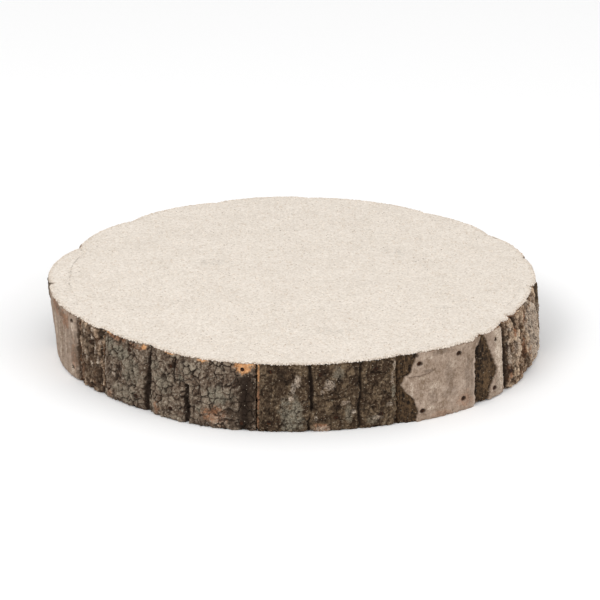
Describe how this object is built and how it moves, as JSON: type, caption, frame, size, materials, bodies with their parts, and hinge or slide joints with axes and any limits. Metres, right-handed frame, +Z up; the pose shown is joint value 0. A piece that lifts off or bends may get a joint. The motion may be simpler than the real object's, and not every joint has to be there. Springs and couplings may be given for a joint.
{
  "type": "bark-edged wood slice",
  "caption": "Round flat wood slice for display: a wooden core with nailed bark strips round its rim and a pale sanded top.",
  "frame": {"origin": "centre of the flat underside, on the surface that the slice lies on", "axes": "+Z up out of the sanded top; the slice is nearly round, and the side that faces the viewer faces -Y"},
  "size_m": [0.3013, 0.3031, 0.042],
  "materials": {
    "core_wood": "sawn, unfinished",
    "sand_coat": "fine pale sand set in glue, slightly sparkling",
    "bark_smooth": "smooth grey-brown bark, dry",
    "bark_plated": "rough plated bark with lichen",
    "bark_furrowed": "dark furrowed bark",
    "bark_flaky": "rough flaking bark",
    "nail_steel": "dark, tarnished"
  },
  "bodies": {
    "root": {"bark_strip_01": "bark_smooth", "bark_strip_02": "bark_flaky", "bark_strip_03": "bark_plated", "bark_strip_04": "bark_plated", "bark_strip_05": "bark_furrowed", "bark_strip_06": "bark_smooth", "bark_strip_07": "bark_smooth", "bark_strip_08": "bark_flaky", "bark_strip_09": "bark_flaky", "bark_strip_10": "bark_furrowed", "bark_strip_11": "bark_plated", "bark_strip_12": "bark_smooth", "bark_strip_13": "bark_plated", "bark_strip_14": "bark_furrowed", "bark_strip_15": "bark_flaky", "bark_strip_16": "bark_smooth", "bark_strip_17": "bark_furrowed", "core_disc": "core_wood", "nail_01a": "nail_steel", "nail_01b": "nail_steel", "nail_02a": "nail_steel", "nail_03a": "nail_steel", "nail_03b": "nail_steel", "nail_04a": "nail_steel", "nail_04b": "nail_steel", "nail_04c": "nail_steel", "nail_04d": "nail_steel", "nail_05a": "nail_steel", "nail_05b": "nail_steel", "nail_05c": "nail_steel", "nail_05d": "nail_steel", "nail_05e": "nail_steel", "nail_05f": "nail_steel", "nail_06a": "nail_steel", "nail_06b": "nail_steel", "nail_06c": "nail_steel", "nail_06d": "nail_steel", "nail_07a": "nail_steel", "nail_07b": "nail_steel", "nail_08a": "nail_steel", "nail_08b": "nail_steel", "nail_09a": "nail_steel", "nail_09b": "nail_steel", "nail_10a": "nail_steel", "nail_10b": "nail_steel", "nail_11a": "nail_steel", "nail_11b": "nail_steel", "nail_12a": "nail_steel", "nail_12b": "nail_steel", "nail_13a": "nail_steel", "nail_13b": "nail_steel", "nail_14a": "nail_steel", "nail_14b": "nail_steel", "nail_15a": "nail_steel", "nail_15b": "nail_steel", "nail_16a": "nail_steel", "nail_16b": "nail_steel", "nail_17a": "nail_steel", "nail_17b": "nail_steel", "sand_coat": "sand_coat"}
  },
  "joints": []
}
